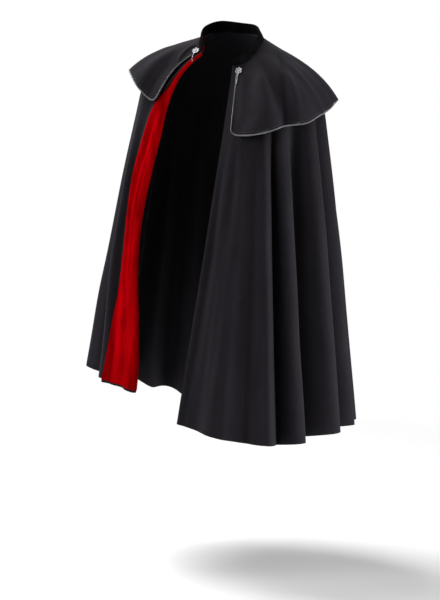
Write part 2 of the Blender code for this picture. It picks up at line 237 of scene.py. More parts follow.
# Right facing: drop, the share of the turned-back flap's width that the velvet covers
FACING_REACH = (
    (0.00, 0.15),
    (0.10, 0.20),
    (0.20, 0.50),
    (0.29, 0.80),
    (0.37, 0.92),
    (0.46, 1.00),
    (1.00, 1.00),
)

# How many degrees both facings reach in from the edge, and how far the left one stays off it
FACING_INSIDE = 14
FACING_SETBACK = 0.2
FACING_DROPS = (0.004, 0.994)
FACING_AIR = 0.4 * MM
FACING_GAP = WOOL / 2 + FACING_AIR + VELVET / 2

# How close the rows and columns of each mesh lie: rows in drop, columns in degrees of turn,
# and whole numbers where a width or a height is shared out
BEND_ROW = 0.012
CLOAK_ROW = 0.0105
FLAP_COLUMNS = 18
ROLL_COLUMNS = 10
RIGHT_COLUMN = 0.9
BACK_COLUMN = 1.1
LEFT_COLUMN = 0.85
CAPE_ROWS = 44
CAPE_COLUMNS = 280
CAPE_EDGE_ROWS = 22
CAPE_CORNER_SHARES = (0, 0.03, 0.09, 0.18, 0.3, 0.45, 0.62, 0.8)
COLLAR_ROWS = 12
COLLAR_COLUMN = 2.0
FACING_ROW = 0.011
RIGHT_FACING_COLUMN = 1.0
LEFT_FACING_COLUMN = 1.1
COLLAR_FACING_ROW = 0.1

# Stitches, and the two sewn lines that they make, each with a stitch's length and the gap to
# the next one
STITCH_RADIUS = 0.32 * MM
STITCH_FLATNESS = 0.7
STITCH_LIFT = 0.15 * MM
CAPE_STITCH_INSET = 6 * MM
CAPE_STITCH_START = 0.10
CAPE_STITCH = (2.6 * MM, 1.4 * MM)
EDGE_STITCH_INSET = 5 * MM
EDGE_STITCH_DROPS = (0.21, 0.996)
EDGE_STITCH_STEP = 0.006
EDGE_STITCH = (2.8 * MM, 1.6 * MM)

# Clasps: side, turn and drop on the cloth, how high the chain's top stands over the cloth and
# how much of the chain lies on the cloth before the rest hangs plumb
CLASPS = (
    ("right", 48.5, 0.018, 7.2 * MM, 22 * MM),
    ("left", 343.2, 0.027, 3.5 * MM, 40 * MM),
)
CLASP_TURN_STEP = 1
CLASP_DROP_STEP = 0.02

# The flower, a plate with six petals of two rings and a seed, grains between them and a heart:
# radii, wires and places are shares of its radius, and heights are in metres
ROSETTE_RADIUS = 10.5 * MM
ROSETTE_LIFT = 1.6 * MM
PLATE_HEIGHT = 0.9 * MM
PLATE_RADIUS = 0.62
PLATE_FLATNESS = 0.16
PETALS = 6
PETAL_PLACE = 0.62
PETAL_HEIGHT = 1.8 * MM
PETAL_TILT = math.radians(-12)

# radius, wire, steps round the ring, sides of the wire
PETAL_RINGS = (
    (0.30, 0.075, 20, 8),
    (0.15, 0.05, 14, 6),
)
SEED_HEIGHT = 0.3 * MM
SEED_RADIUS = 0.085
# distance from the middle, height, radius
GRAINS = (
    (0.80, 1.5 * MM, 0.085),
    (0.40, 2.6 * MM, 0.10),
)
HEART_HEIGHT = 2.6 * MM
HEART_RING = 0.27
HEART_WIRE = 0.06
HEART_RADIUS = 0.20
HEART_FLATNESS = 0.8

# The chains: how far each leans off the cloth, the oval links, and the hook with its eye
CHAIN_LENGTH = 34 * MM
CHAIN_GAP = 0.4 * MM
CHAIN_LEAN = {"right": 0.10, "left": 0.06}
LINKS = 6
LINK_START = 0.32
LINK_RADIUS = 1.25 * MM
LINK_WIRE = 0.55 * MM
LINK_STRETCH = 1.75
LINK_LENGTH = 5.4 * MM
LINK_NESTING = 2.4 * LINK_WIRE
LINK_PITCH = LINK_LENGTH - LINK_NESTING
# Every second link has its width and its depth the other way round
LINK_TURN = Matrix(((0, 0, 1, 0), (0, 1, 0, 0), (1, 0, 0, 0), (0, 0, 0, 1)))
HOOK_OVERLAP = 0.2
HOOK_EYE = 1.2 * MM
HOOK_WIRE = 0.6 * MM
HOOK_RADIUS = 1.35 * MM
HOOK_STRETCH = 2.3
HOOK_BEAD = 1.3 * MM

# Creases of the cloak that are finer than its folds, in order of turn.
# turn at the top, turn at the bottom, top drop, bottom drop, half width in mm, height in mm
CLOAK_CREASES = (
    (56, 55, 0.24, 1.00, 13, -8),
    (72, 74, 0.22, 1.00, 10, 4),
    (94, 96, 0.20, 0.90, 12, -4),
    (126, 124, 0.25, 1.00, 11, 5),
    (146, 147, 0.30, 1.00, 12, -5),
    (168, 165, 0.25, 0.85, 14, 5),
    (186, 184, 0.30, 1.00, 12, -4),
    (207, 205, 0.25, 1.00, 12, 5),
    (226, 226, 0.22, 1.00, 10, -4),
    (245, 245, 0.20, 1.00, 12, 4),
    (262, 261, 0.20, 1.00, 8, 4),
    (273, 273, 0.16, 1.00, 8, 6),
    (279, 279, 0.18, 0.95, 9, -3),
    (284, 284, 0.14, 1.00, 17, -15),
    (291, 292, 0.18, 1.00, 9, 6),
    (301, 303, 0.14, 1.00, 8, -11),
    (306, 309, 0.16, 1.00, 10, 6),
    (315, 320, 0.18, 1.00, 15, -8),
    (326, 333, 0.16, 1.00, 14, 6),
    (337, 344, 0.20, 0.95, 15, -5),
    (347, 355, 0.18, 0.95, 13, 5),
    (356, 361, 0.22, 1.00, 9, -3),
)

# Shallow dents and swells where the cloth is not quite straight.
# turn, drop, half width and half height in mm, depth in mm
CLOAK_DENTS = (
    (62, 0.55, 45, 90, -4),
    (78, 0.80, 40, 110, 4),
    (104, 0.62, 50, 120, -5),
    (133, 0.48, 60, 110, 5),
    (158, 0.72, 55, 130, -5),
    (182, 0.55, 60, 140, 5),
    (204, 0.80, 55, 100, -4),
    (232, 0.58, 50, 130, 5),
    (255, 0.74, 40, 120, -4),
    (276, 0.52, 30, 110, 4),
    (294, 0.76, 30, 120, -4),
    (312, 0.46, 45, 90, 4),
    (324, 0.66, 45, 110, -5),
    (336, 0.84, 50, 90, 4),
    (350, 0.55, 40, 100, -4),
)

# Creases of the shoulder cape: as above, with drops as shares of its own length
CAPE_CREASES = (
    (62, 49, 0.02, 0.36, 5, 4),
    (52, 51, 0.40, 1.00, 10, -3),
    (62, 58, 0.25, 1.00, 12, 5),
    (68, 66, 0.30, 1.00, 12, -4),
    (84, 80, 0.35, 1.00, 14, 3),
    (112, 110, 0.25, 1.00, 16, -3),
    (148, 146, 0.20, 1.00, 18, 4),
    (166, 168, 0.30, 1.00, 16, -4),
    (190, 187, 0.20, 1.00, 20, 4),
    (205, 206, 0.25, 0.95, 15, -3),
    (224, 225, 0.15, 1.00, 15, 4),
    (258, 258, 0.25, 1.00, 14, -4),
    (274, 272, 0.20, 1.00, 12, 4),
    (268, 285, 0.15, 0.42, 8, -4),
    (283, 290, 0.40, 1.00, 9, 6),
    (285, 296, 0.38, 1.00, 9, -7),
    (305, 303, 0.20, 1.00, 12, 5),
    (318, 316, 0.20, 0.90, 14, -3),
    (333, 330, 0.10, 0.90, 13, 3),
)

# How fast a crease grows and ends, and how many of its widths away it and a dent still count
CREASE_GROWTH = 3.5
CREASE_FADE = 0.05
CREASE_ENDING = 4
CREASE_REACH = 2.6
DENT_REACH = 6

# Colours: the dark and the light end of each material, the wool's edges, lighter as wear and as a
# painted highlight where they catch the light, and the tint of the nap and the piles where they
# turn away
WOOL_DARK = (0.0060, 0.0052, 0.0066)
WOOL_LIGHT = (0.0200, 0.0178, 0.0222)
WOOL_EDGE_WEAR_AND_HIGHLIGHT = (0.075, 0.070, 0.080)
WOOL_TINT = (0.60, 0.58, 0.66)
BLACK_DARK = (0.0020, 0.0018, 0.0020)
BLACK_LIGHT = (0.0060, 0.0056, 0.0062)
BLACK_TINT = (0.4, 0.4, 0.44)
RED_DARK = (0.175, 0.0002, 0.0006)
RED_LIGHT = (0.42, 0.0004, 0.0030)
RED_TINT = (1.0, 0.0, 0.04)
CORD_DARK = (0.015, 0.015, 0.017)
CORD_LIGHT = (0.080, 0.080, 0.087)
SILVER_DARK = (0.22, 0.22, 0.23)
SILVER_LIGHT = (0.52, 0.52, 0.54)
THREAD_DARK = (0.020, 0.020, 0.024)
THREAD_LIGHT = (0.065, 0.064, 0.072)

# Camera: how far round, how far away, how far aside and how high, and its downward tilt
CAMERA_TURN = math.radians(25)
CAMERA_AWAY = 4.4
CAMERA_ASIDE = 0.0358
CAMERA_HEIGHT = -0.325
CAMERA_TILT = math.radians(5.58)
CAMERA_LENS = 88.5
CAMERA_SENSOR = 36
CAMERA_CLIP = 100

# Stage: the floor's height and where it has faded out, and the lights
FLOOR = -1.56
FLOOR_FADE = 2.6
FLOOR_SIDES = 96
AMBIENT = 0.14
LIGHT_AIM = Vector((-0.05, 0, -0.5))

# name, turn from the front, height, distance, size, power
LIGHTS = (
    ("key", -96, 2.7, 2.2, 2.4, 300),
    ("fill", 88, -1.3, 3.0, 1.6, 215),
    ("front", -34, 0.4, 2.8, 1.6, 52),
)

# What has been worked out before: the first columns of tables, the ends of folds, and points
PLACES = {}
WAVES = {}
CLOAK_POINTS = {}


def row_at(rows, place):
    """A smooth reading of a table at a place in its first column."""
    places = PLACES.setdefault(rows, [row[0] for row in rows])
    last = len(rows) - 1
    low = max(0, min(last - 1, bisect.bisect_right(places, place) - 1))
    here, there = rows[low], rows[low + 1]
    before, after = rows[max(low - 1, 0)], rows[min(low + 2, last)]
    step = there[0] - here[0]
    s = (place - here[0]) / step
    at_here, at_there = (1 + 2 * s) * (1 - s) ** 2, s * s * (3 - 2 * s)
    leaving = step * s * (1 - s) ** 2 / (there[0] - before[0])
    arriving = step * s * s * (1 - s) / (after[0] - here[0])
    values = []
    for column in range(1, len(here)):
        value = here[column] * at_here + there[column] * at_there
        value += (there[column] - before[column]) * leaving
        values.append(value - (after[column] - here[column]) * arriving)
    return values


def bump(value, middle, span):
    """1 at the middle, falling smoothly to 0 at a span from it."""
    away = min(1.0, abs(value - middle) / span)
    return 0.5 + 0.5 * math.cos(math.pi * away)


def rail_point(values, drop):
    """The point of a rail at a drop: a bend from the neck past the corner, then a straight fall."""
    neck, corner, hem = (Vector(values[i : i + 3]) * MM for i in (0, 3, 6))
    joint = corner.lerp(hem, BEND_REACH)
    if drop >= CLOAK_BEND:
        return joint.lerp(hem, (drop - CLOAK_BEND) / (1 - CLOAK_BEND))
    s = drop / CLOAK_BEND
    return neck * (1 - s) ** 2 + corner * 2 * s * (1 - s) + joint * s * s


def wave(folds, turn):
    """How far out the folds stand at a turn, at the hem, and the drop where they begin."""
    ends = WAVES.get(folds)
    if ends is None:
        ends = []
        for crest, out, valley, inward, start in folds:
            ends += [(crest, out * MM, start), (valley, -inward * MM, start)]
        WAVES[folds] = ends
    for (left, a, first), (right, b, second) in zip(ends, ends[1:]):
        if left <= turn <= right:
            s = 0.5 - 0.5 * math.cos(math.pi * (turn - left) / (right - left))
            return a + (b - a) * s, first + (second - first) * s
    return 0.0, 0.0


def fading(drop, start):
    """The share of a fold's depth at a drop: none above its start, all of it at the hem."""
    s = max(0.0, (drop - start) / (1 - start))
    return 1 - (1 - s) ** FOLD_GROWTH


def creased(creases, dents, turn, drop, speed):
    """How far out the creases and dents move a point; speed is metres per degree of turn."""
    out = 0.0
    for top, low, first, last, width, height in creases:
        if first < drop <= last + CREASE_FADE:
            s = (drop - first) / (last - first)
            away = (turn - top - (low - top) * s) * speed / (width * MM)
            if abs(away) < CREASE_REACH:
                ends = min(1.0, s * CREASE_GROWTH)
                if last < 1:
                    ends *= max(0.0, min(1.0, (1 + CREASE_FADE - s) * CREASE_ENDING))
                out += height * MM * math.exp(-away * away) * ends * ends * (3 - 2 * ends)
    for middle, level, width, tall, depth in dents:
        across = (turn - middle) * speed / (width * MM)
        down = (drop - level) * CLOAK_LENGTH / (tall * MM)
        far = across * across + down * down
        if far < DENT_REACH:
            out += depth * MM * math.exp(-far)
    return out


def ripple(turn, drop):
    """A slow unevenness all over the cloth: wide swells and finer ones, round it and down it.

    The numbers of the waves only keep the swells from repeating.
    """
    a = math.radians(turn)
    wide = math.sin(9.3 * a + 2.2 * math.sin(5.1 * drop + a)) * math.sin(7.7 * drop + 1.3)
    fine = math.sin(23.0 * a - 4.0 * drop) * math.sin(15.0 * drop + 3.1 * a)
    return (WIDE_RIPPLE * wide + FINE_RIPPLE * fine) * min(1.0, RIPPLE_GROWTH * drop)


def cloak_base(turn, drop):
    """The cloak without its folds."""
    point = rail_point(row_at(CLOAK_RAILS, turn), drop)
    pushed = bump(drop, ELBOW_DROP, ELBOW_SPAN) * bump(turn, ELBOW_TURN, ELBOW_TURN_SPAN)
    return point + ELBOW_PUSH * pushed


def frame_at(surface, turn, drop):
    """The directions round, down and out of a surface at a point, and metres per degree of turn."""
    low, high = max(0.0, drop - DROP_STEP), min(1.0, drop + DROP_STEP)
    round_it = surface(turn + TURN_STEP, drop) - surface(turn - TURN_STEP, drop)
    down = (surface(turn, high) - surface(turn, low)).normalized()
    out = round_it.cross(down).normalized()
    return round_it.normalized(), down, out, round_it.length


def cloak_point(turn, drop):
    """The middle of the cloak's wall."""
    key = (round(turn, 4), round(drop, 5))
    if key not in CLOAK_POINTS:
        offset, start = wave(CLOAK_FOLDS, turn)
        out, speed = frame_at(cloak_base, turn, drop)[2:]
        offset *= fading(drop, start)
        offset += creased(CLOAK_CREASES, CLOAK_DENTS, turn, drop, speed)
        to_edge, to_roll = abs(turn - EDGE_TURN), abs(turn - ROLL_TURN)
        offset += ripple(turn, drop) * min(1.0, to_edge / EDGE_CALM, to_roll / ROLL_CALM)
        CLOAK_POINTS[key] = cloak_base(turn, drop) + out * offset
    return CLOAK_POINTS[key]


def flap_point(place, drop):
    """The turned-back edge: place runs from -1 at the free edge to 0 and on round the roll to 1."""
    width, roll = (value * MM for value in row_at(FLAP, drop))
    round_it, down, out, speed = frame_at(cloak_point, INSIDE_ROLL, drop)
    if place > 0:
        angle = math.pi * (1 - place)
        edge = cloak_point(ROLL_TURN, drop)
        return edge + out * roll * (1 - math.cos(angle)) - round_it * roll * math.sin(angle)
    share = -place
    turn = ROLL_TURN + share * width / speed
    gap = 2 * roll * (1 - share) + min(2 * roll, FLAP_END_GAP) * share
    sway = FLAP_WAVE_SWAY * math.sin(FLAP_WAVE_TURNS * drop)
    soft = math.sin(2 * math.pi * (FLAP_WAVES * share + sway)) * (2 - share)
    calm = min(1.0, FLAP_ROLL_CALM * share) * min(1.0, drop / FLAP_NECK_CALM)
    gap += soft * FLAP_WAVE_HEIGHT * calm
    point = cloak_point(turn, drop) + frame_at(cloak_point, turn, drop)[2] * gap
    return point + down * FLAP_HEM_DROP * share * drop * drop


def right_front_point(place, drop):
    """Below 1 the place is on the flap and its roll, and from 1 it goes on by degrees of turn."""
    if place < 1:
        return flap_point(place, drop)
    return cloak_point(ROLL_TURN - 1 + place, drop)


def lifted(turn, drop, lift):
    """A point out from the cloak without its folds."""
    return cloak_base(turn, drop) + frame_at(cloak_base, turn, drop)[2] * lift


def cape_point(place, share):
    """The middle of the shoulder cape's wall; place runs from 0 at its right edge to 1."""
    first, last = (at_neck + (at_hem - at_neck) * share for at_neck, at_hem in CAPE_EDGES)
    turn = first + (last - first) * place
    length, flare = row_at(CAPE, turn)
    speed = frame_at(cloak_base, turn, length)[3]
    to_edge = min(place, 1 - place) * (last - first) * speed
    short = CAPE_CORNER - min(CAPE_CORNER, to_edge)
    rounding = CAPE_CORNER - math.sqrt(CAPE_CORNER**2 - short**2)
    drop = share * (length - rounding / CLOAK_LENGTH)
    offset, start = wave(CAPE_FOLDS, turn)
    flared = flare * MM * share**CAPE_FLARE_POWER
    narrowed = CAPE_NECK_SHARE + (1 - CAPE_NECK_SHARE) * share
    fine = creased(CAPE_CREASES, (), turn, share, speed * narrowed)
    lift = CAPE_MIDDLE + flared + offset * fading(share, start)
    return lifted(turn, drop, lift + max(fine, -CAPE_CREASE_LIMIT * flared))


def collar_point(turn, share):
    """The middle of the stand collar's wall, from its seam on the shoulder cape upwards."""
    height, lean = (value * MM for value in row_at(COLLAR, turn))
    out = frame_at(cloak_base, turn, 0)[2]
    away = Vector((out.x, out.y, 0)).normalized()
    foot = lifted(turn, 0, CAPE_OUTSIDE + COLLAR_SEAT + COLLAR_WALL)
    return foot + Vector((0, 0, height * share)) + away * lean * share


def collar_seam_point(turn, share):
    """The collar, with its foot row sewn down into the shoulder cape's neck edge."""
    if share >= 0:
        return collar_point(turn, share)
    return cloak_base(turn, COLLAR_FOOT_DROP) + frame_at(cloak_base, turn, 0)[2] * CAPE_MIDDLE


def lined(surface, place, drop, step, gap):
    """A point a gap behind a surface, on its inner side where the drop runs down it."""
    low, high = max(0.0, drop - DROP_STEP), min(1.0, drop + DROP_STEP)
    across = surface(place + step, drop) - surface(place - step, drop)
    down = surface(place, high) - surface(place, low)
    return surface(place, drop) - across.cross(down).normalized() * gap


def facing_right_point(place, drop):
    """The velvet of the turned-back front, which covers only a part of the flap near the neck."""
    if place < 0:
        place *= min(1.0, row_at(FACING_REACH, drop)[0])
    step = FLAP_STEP if place < 1 else TURN_STEP
    if place == 1:
        step = FLAP_STEP / 2
    return lined(right_front_point, place, drop, step, FACING_GAP)


def facing_left_point(turn, drop):
    """The velvet inside the left front edge."""
    return lined(cloak_point, turn, drop, TURN_STEP, FACING_GAP)


def collar_facing_point(turn, share):
    """The velvet inside the collar, whose share runs upwards, so the gap's sign is turned."""
    return lined(collar_point, turn, share, TURN_STEP, -COLLAR_FACING_GAP)


def spread(first, last, step):
    """Even places from first to last, about a step apart."""
    count = max(1, round((last - first) / step))
    return [first + (last - first) * i / count for i in range(count + 1)]


def flap_places():
    """Places across the flap and round its roll, up to where the front itself begins."""
    return spread(-1, 0, 1 / FLAP_COLUMNS) + spread(0, 1, 1 / ROLL_COLUMNS)[1:-1]


def ride(piece, node, body="cloak"):
    """The piece stands for a node, which is hidden, and moves with its body."""
    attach(piece, body)
    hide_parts(node)


def add_object(name, mesh, finish):
    made = bpy.data.objects.new(name, mesh)
    mesh.materials.append(finish)
    bpy.context.scene.collection.objects.link(made)
    return made


def add_shape(name, shape, finish):
    """A smooth object from a bmesh, which is freed."""
    mesh = bpy.data.meshes.new(name)
    shape.to_mesh(mesh)
    shape.free()
    mesh.shade_smooth()
    return add_object(name, mesh, finish)


def cloth(name, places, drops, surface, wall, finish, even=True):
    """A thin shell of cloth with softly rounded edges."""
    sheet = bmesh.new()
    columns, rows = len(places) - 1, len(drops) - 1
    bmesh.ops.create_grid(sheet, x_segments=columns, y_segments=rows, size=1.0)
    for vertex in sheet.verts:
        column = round((vertex.co.x + 1) / 2 * columns)
        row = round((1 - vertex.co.y) / 2 * rows)
        vertex.co = surface(places[column], drops[row])
    made = add_shape(name, sheet, finish)
    solidify = made.modifiers.new("wall", "SOLIDIFY")
    solidify.thickness = wall
    solidify.offset = 0.0
    solidify.use_even_offset = even
    rounded = made.modifiers.new("rounded_edge", "BEVEL")
    rounded.width = wall * EDGE_ROUNDING
    rounded.segments = 2
    rounded.limit_method = "ANGLE"
    rounded.angle_limit = EDGE_ANGLE
    rounded.harden_normals = False
    return made


def tube(name, path, radius, finish, sides):
    """A round cord along a path."""
    curve = bpy.data.curves.new(name, "CURVE")
    curve.dimensions = "3D"
    spline = curve.splines.new("POLY")
    spline.points.add(len(path) - 1)
    for point, place in zip(spline.points, path):
        point.co = (*place, 1.0)
    curve.bevel_depth = radius
    curve.bevel_resolution = sides
    curve.use_fill_caps = True
    return add_object(name, curve, finish)


class Nodes:
    """A material and the nodes that make it, which are joined output to input."""

    def __init__(self, name):
        self.material = bpy.data.materials.new(name)
        self.material.use_nodes = True
        self.tree = self.material.node_tree
        self.shader = self.tree.nodes["Principled BSDF"].inputs

    def add(self, kind, **settings):
        node = self.tree.nodes.new(kind)
        for key, value in settings.items():
            setattr(node, key, value)
        return node

    def join(self, output, socket):
        self.tree.links.new(output, socket)

    def stretched(self, stretch):
        """The object's own coordinates, stretched along its axes."""
        mapping = self.add("ShaderNodeMapping")
        mapping.inputs["Scale"].default_value = stretch
        self.join(self.add("ShaderNodeTexCoord").outputs["Object"], mapping.inputs["Vector"])
        return mapping.outputs["Vector"]

    def noise(self, stretch, size, detail, roughness):
        texture = self.add("ShaderNodeTexNoise")
        texture.inputs["Scale"].default_value = size
        texture.inputs["Detail"].default_value = detail
        texture.inputs["Roughness"].default_value = roughness
        self.join(self.stretched(stretch), texture.inputs["Vector"])
        return texture.outputs["Fac"]

    def ramp(self, source, *stops):
        """Colours between stops of a place and a colour or a shade of grey."""
        ramp = self.add("ShaderNodeValToRGB")
        for element, (place, colour) in zip(ramp.color_ramp.elements, stops):
            element.position = place
            element.color = (*(colour if isinstance(colour, tuple) else (colour,) * 3), 1.0)
        self.join(source, ramp.inputs["Fac"])
        return ramp.outputs["Color"]

    def hollows(self, reach, deep, shut, free):
        """A shade that goes from deep, down in hollows, to white on what stands free.

        Shut and free say how open a place is where the shade is darkest and lightest.
        """
        around = self.add("ShaderNodeAmbientOcclusion", samples=8)
        around.inputs["Distance"].default_value = reach
        return self.ramp(around.outputs["AO"], (shut, deep), (free, 1.0))

    def mix(self, mode, first, second=None, factor=None, colour=None):
        """A colour mixed with a second one or with a set colour, in full or by a factor."""
        mix = self.add("ShaderNodeMix", data_type="RGBA", blend_type=mode)
        amount, a, b = mix.inputs[0], mix.inputs[6], mix.inputs[7]
        amount.default_value = 1.0
        if factor is not None:
            self.join(factor, amount)
        self.join(first, a)
        if second is not None:
            self.join(second, b)
        if colour is not None:
            b.default_value = (*colour, 1.0)
        return mix.outputs[2]

    def bumped(self, height, distance, strength, before=None):
        made = self.add("ShaderNodeBump")
        made.inputs["Distance"].default_value = distance
        made.inputs["Strength"].default_value = strength
        self.join(height, made.inputs["Height"])
        if before is not None:
            self.join(before, made.inputs["Normal"])
        self.join(made.outputs["Normal"], self.shader["Normal"])
        return made.outputs["Normal"]

    def sheen(self, weight, roughness, tint):
        self.shader["Sheen Weight"].default_value = weight
        self.shader["Sheen Roughness"].default_value = roughness
        self.shader["Sheen Tint"].default_value = (*tint, 1.0)

    def values(self, settings):
        for name, value in settings.items():
            self.shader[name].default_value = value


def wool_material(name, dark, light, wear_and_highlight):
    """Milled wool: a short nap brushed down the cloth over a tight felted weave."""
    n = Nodes(name)
    nap = n.noise(stretch=(1.0, 1.0, 0.22), size=900, detail=3.0, roughness=0.65)
    felt = n.noise(stretch=(1.0, 1.0, 1.0), size=2600, detail=2.0, roughness=0.6)
    cloud = n.noise(stretch=(1.0, 1.0, 0.45), size=16, detail=3.0, roughness=0.55)
    fibre = n.ramp(nap, (0.30, dark), (0.72, light))
    patches = n.ramp(cloud, (0.35, 0.80), (0.70, 1.0))
    # Painted shade: the wool's colour is darkened in the hollows of its folds, found by ambient
    # occlusion
    folds = n.hollows(reach=0.16, deep=0.20, shut=0.30, free=0.90)
    shaded = n.mix("MULTIPLY", n.mix("MULTIPLY", fibre, patches), folds)
    # Lighter colour on the rounded edges: wear, and a painted highlight where the edges catch the
    # light
    form = n.add("ShaderNodeNewGeometry").outputs["Pointiness"]
    edges = n.ramp(form, (0.56, 0.0), (0.68, 1.0))
    n.join(n.mix("MIX", shaded, factor=edges, colour=wear_and_highlight), n.shader["Base Color"])
    n.values({"Roughness": 0.92, "Specular IOR Level": 0.06})
    n.sheen(weight=0.05, roughness=0.45, tint=WOOL_TINT)
    brushed = n.bumped(nap, distance=0.0005, strength=0.55)
    n.bumped(felt, distance=0.00025, strength=0.5, before=brushed)
    return n.material


def velvet_material(name, dark, light, tint):
    """Velvet: a short upright pile that brightens where it turns away."""
    n = Nodes(name)
    pile = n.noise(stretch=(1.0, 1.0, 0.5), size=1800, detail=2.0, roughness=0.6)
    brushed = n.noise(stretch=(1.0, 1.0, 0.18), size=30, detail=3.0, roughness=0.6)
    colour = n.ramp(brushed, (0.32, dark), (0.68, light))
    speck = n.ramp(pile, (0.25, 0.72), (0.75, 1.0))
    n.join(n.mix("MULTIPLY", colour, speck), n.shader["Base Color"])
    n.values({"Roughness": 0.62, "Specular IOR Level": 0.0})
    n.sheen(weight=0.10, roughness=0.30, tint=tint)
    uneven = n.bumped(brushed, distance=0.0012, strength=0.35)
    n.bumped(pile, distance=0.0003, strength=0.6, before=uneven)
    return n.material


def cord_material():
    """Grey satin cord with fine slanting strands."""
    n = Nodes("grey_cord")
    strands = n.add("ShaderNodeTexWave", wave_type="BANDS", bands_direction="DIAGONAL")
    strands.inputs["Scale"].default_value = 260
    strands.inputs["Distortion"].default_value = 1.5
    n.join(n.stretched((1.0, 1.0, 1.0)), strands.inputs["Vector"])
    bands = strands.outputs["Color"]
    n.join(n.ramp(bands, (0.1, CORD_DARK), (0.9, CORD_LIGHT)), n.shader["Base Color"])
    n.values({"Roughness": 0.36, "Sheen Weight": 0.3})
    n.bumped(bands, distance=0.0006, strength=0.8)
    return n.material


def silver_material():
    """Cast silver, a little tarnished in its hollows."""
    n = Nodes("silver")
    wear_and_highlight = n.noise(stretch=(1.0, 1.0, 1.0), size=700, detail=3.0, roughness=0.6)
    colour = n.ramp(wear_and_highlight, (0.34, SILVER_DARK), (0.58, SILVER_LIGHT))
    pits = n.hollows(reach=0.003, deep=0.02, shut=0.35, free=0.80)
    n.join(n.mix("MULTIPLY", colour, pits), n.shader["Base Color"])
    n.join(n.ramp(wear_and_highlight, (0.30, 0.45), (0.65, 0.22)), n.shader["Roughness"])
    n.values({"Metallic": 1.0})
    n.bumped(wear_and_highlight, distance=0.0002, strength=0.4)
    return n.material


def thread_material():
    """Dark sewing thread."""
    n = Nodes("dark_thread")
    strand = n.noise(stretch=(1.0, 1.0, 1.0), size=3000, detail=1.0, roughness=0.5)
    n.join(n.ramp(strand, (0.3, THREAD_DARK), (0.7, THREAD_LIGHT)), n.shader["Base Color"])
    n.values({"Roughness": 0.5})
    n.bumped(strand, distance=0.0001, strength=0.5)
    return n.material


def floor_material():
    """A pale floor that fades out into the white round it."""
    n = Nodes("pale_floor")
    inwards = n.add("ShaderNodeTexGradient", gradient_type="SPHERICAL")
    n.join(n.stretched((1.0 / FLOOR_FADE, 1.0 / FLOOR_FADE, 1.0)), inwards.inputs["Vector"])
    shade = inwards.outputs["Color"]
    n.join(n.ramp(shade, (0.0, 0.90), (1.0, 0.89)), n.shader["Base Color"])
    n.join(n.ramp(shade, (0.0, 0.0), (0.45, 1.0)), n.shader["Alpha"])
    n.values({"Roughness": 0.7})
    return n.material


def lapped(surface, place, drop, way):
    """A point of a panel's side edge, moved out a little so that it laps into its neighbour."""
    across = surface(place + TURN_STEP, drop) - surface(place - TURN_STEP, drop)
    return surface(place, drop) + across.normalized() * (way * SEAM_LAP / 2)


def build_panel(name, places, rows, surface, seams, wool):
    """A panel of the cloak. Seams are the ends that are sewn: -1 is its first and 1 its last."""
    sewn = {places[0]: -1, places[-1]: 1}

    def panel_point(place, drop):
        way = sewn.get(place)
        if way in seams:
            return lapped(surface, place, drop, way)
        return surface(place, drop)

    piece = cloth(name + "_cloth", places, rows, panel_point, WOOL, wool)
    ride(piece, name)


def build_cloak(wool):
    rows = spread(0, CLOAK_BEND, BEND_ROW) + spread(CLOAK_BEND, 1, CLOAK_ROW)[1:]
    right = flap_places() + spread(1, RIGHT_SEAM_TURN - ROLL_TURN + 1, RIGHT_COLUMN)
    back = spread(RIGHT_SEAM_TURN, LEFT_SEAM_TURN, BACK_COLUMN)
    left = spread(LEFT_SEAM_TURN, EDGE_TURN, LEFT_COLUMN)
    build_panel("front_right", right, rows, right_front_point, (1,), wool)
    build_panel("back", back, rows, cloak_point, (-1, 1), wool)
    build_panel("front_left", left, rows, cloak_point, (-1,), wool)


def cape_places():
    """Even places across the shoulder cape, closer together round its two front corners."""
    edge = CAPE_CORNER / CAPE_HEM
    corner = [share * edge for share in CAPE_CORNER_SHARES]
    middle = spread(edge, 1 - edge, 1 / CAPE_COLUMNS)
    return corner + middle + [1 - share for share in reversed(corner)]


def cape_normal(place, share):
    """The outward direction of the shoulder cape at a point."""
    left, right = max(0.0, place - CAPE_STEP), min(1.0, place + CAPE_STEP)
    up, low = max(0.0, share - SHARE_STEP), min(1.0, share + SHARE_STEP)
    across = cape_point(right, share) - cape_point(left, share)
    down = cape_point(place, low) - cape_point(place, up)
    return across.cross(down).normalized()


def build_cape(wool):
    rows = spread(0, 1, 1 / CAPE_ROWS)
    piece = cloth("capelet_cloth", cape_places(), rows, cape_point, CAPE_WOOL, wool)
    ride(piece, "capelet")


def cape_edge(start):
    """The shoulder cape's right edge from a share, its hem and its left edge.

    Each row has the point, the way along, the way out of the cloth and the way off its edge.
    """
    shares = [start + (1 - start) * i / CAPE_EDGE_ROWS for i in range(CAPE_EDGE_ROWS)]
    edge = [(0, share) for share in shares]
    edge += [(place, 1) for place in cape_places()]
    edge += [(1, share) for share in reversed(shares)]
    cut = [cape_point(place, share) for place, share in edge]
    found = []
    for i, (place, share) in enumerate(edge):
        along = (cut[min(i + 1, len(cut) - 1)] - cut[max(i - 1, 0)]).normalized()
        out = cape_normal(place, share)
        found.append((cut[i], along, out, out.cross(along).normalized()))
    return found


def build_trim(cord):
    """The cord along the shoulder cape's edge, eased so that it has no kinks."""
    path = [cut + away * (TRIM_GAP + TRIM_RADIUS) for cut, _, _, away in cape_edge(CORD_START)]
    for _ in range(CORD_EASING):
        eased = [(a + b * 2 + c) / 4 for a, b, c in zip(path, path[1:], path[2:])]
        path = [path[0]] + eased + [path[-1]]
    ride(tube("capelet_cord", path, TRIM_RADIUS, cord, sides=3), "capelet_trim")


